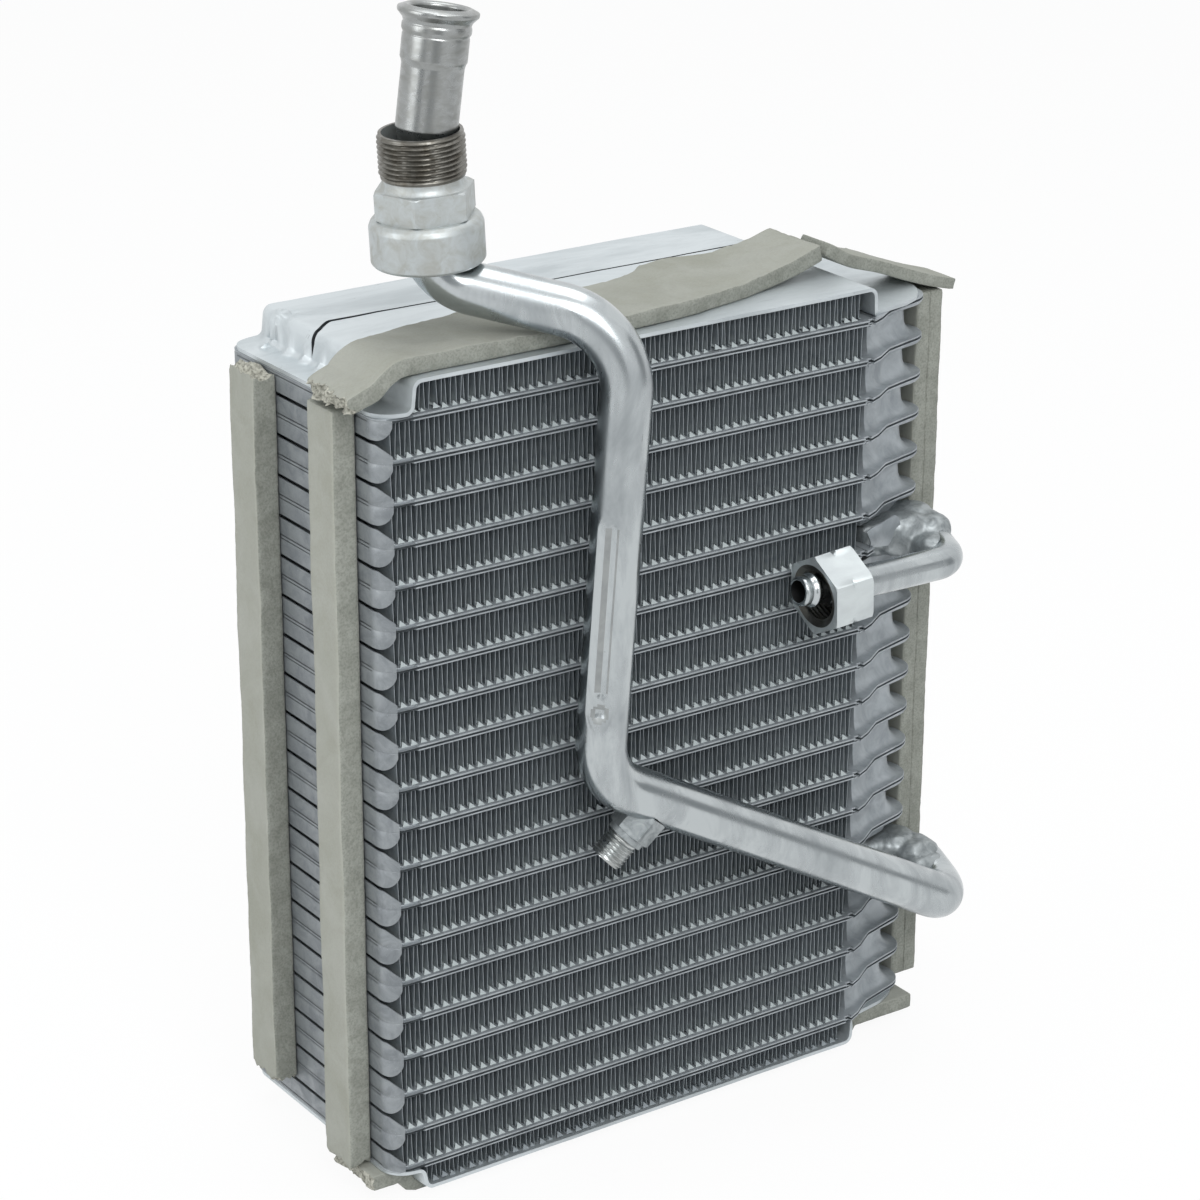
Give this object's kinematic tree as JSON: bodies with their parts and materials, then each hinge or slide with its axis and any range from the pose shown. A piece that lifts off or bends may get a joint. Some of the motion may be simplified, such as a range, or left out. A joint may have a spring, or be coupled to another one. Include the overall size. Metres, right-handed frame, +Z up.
{
  "type": "evaporator core",
  "caption": "Laminated evaporator core: stamped tube plates and corrugated fins between end plates, foam seal strips, a suction pipe and a liquid pipe with captive nuts.",
  "frame": {"origin": "on the underside of the bottom foam strip that the core stands on, at the middle of the core's width and of the strip's depth", "axes": "+Z up along the stack of tube plates, +X towards the tanks, -Y towards the side that the pipes run along"},
  "size_m": [0.2425, 0.1177, 0.3733],
  "materials": {
    "bare_aluminium": "satin, brazed",
    "fin_aluminium": "thin brazed sheet, dull",
    "turned_aluminium": "turned, satin",
    "grey_foam": "open foam, matte",
    "valve_brass": "plain"
  },
  "bodies": {
    "core": {"tube_plate_01": "bare_aluminium", "tube_plate_02": "bare_aluminium", "tube_plate_03": "bare_aluminium", "tube_plate_04": "bare_aluminium", "tube_plate_05": "bare_aluminium", "tube_plate_06": "bare_aluminium", "tube_plate_07": "bare_aluminium", "tube_plate_08": "bare_aluminium", "tube_plate_09": "bare_aluminium", "tube_plate_10": "bare_aluminium", "tube_plate_11": "bare_aluminium", "tube_plate_12": "bare_aluminium", "tube_plate_13": "bare_aluminium", "tube_plate_14": "bare_aluminium", "tube_plate_15": "bare_aluminium", "tube_plate_16": "bare_aluminium", "tube_plate_17": "bare_aluminium", "tube_plate_18": "bare_aluminium", "tube_plate_19": "bare_aluminium", "tube_plate_20": "bare_aluminium", "fin_01": "fin_aluminium", "fin_02": "fin_aluminium", "fin_03": "fin_aluminium", "fin_04": "fin_aluminium", "fin_05": "fin_aluminium", "fin_06": "fin_aluminium", "fin_07": "fin_aluminium", "fin_08": "fin_aluminium", "fin_09": "fin_aluminium", "fin_10": "fin_aluminium", "fin_11": "fin_aluminium", "fin_12": "fin_aluminium", "fin_13": "fin_aluminium", "fin_14": "fin_aluminium", "fin_15": "fin_aluminium", "fin_16": "fin_aluminium", "fin_17": "fin_aluminium", "fin_18": "fin_aluminium", "fin_19": "fin_aluminium", "fin_20": "fin_aluminium", "fin_21": "fin_aluminium", "top_end_plate": "bare_aluminium", "bottom_end_plate": "bare_aluminium", "foam_left_front": "grey_foam", "foam_left_back": "grey_foam", "foam_right_front": "grey_foam", "foam_right_back": "grey_foam", "foam_top": "grey_foam", "foam_top_right": "grey_foam", "foam_bottom": "grey_foam", "suction_boss": "bare_aluminium", "suction_pipe": "bare_aluminium", "suction_end": "bare_aluminium", "service_port": "turned_aluminium", "valve_core": "valve_brass", "liquid_boss": "bare_aluminium", "liquid_pipe": "bare_aluminium"},
    "suction_nut": {"suction_nut": "turned_aluminium"},
    "liquid_nut": {"liquid_nut": "turned_aluminium"},
    "valve_pin": {"valve_pin": "valve_brass"}
  },
  "joints": [
    {"name": "suction_nut_turn", "type": "hinge", "parent": "core", "child": "suction_nut", "pos_m": [-0.0748, 0.0075, 0.2973], "axis": [-0.0579, 0, 0.9983], "continuous": true},
    {"name": "liquid_nut_turn", "type": "hinge", "parent": "core", "child": "liquid_nut", "pos_m": [0.0562, -0.0317, 0.1798], "axis": [-0.9979, 0, -0.0649], "continuous": true},
    {"name": "valve_pin_press", "type": "slide", "parent": "core", "child": "valve_pin", "axis": [0.6714, -0.18, 0.7189], "range_m": [0, 0.001], "stiffness_N_per_m": 500, "springref_m": -0.002}
  ]
}
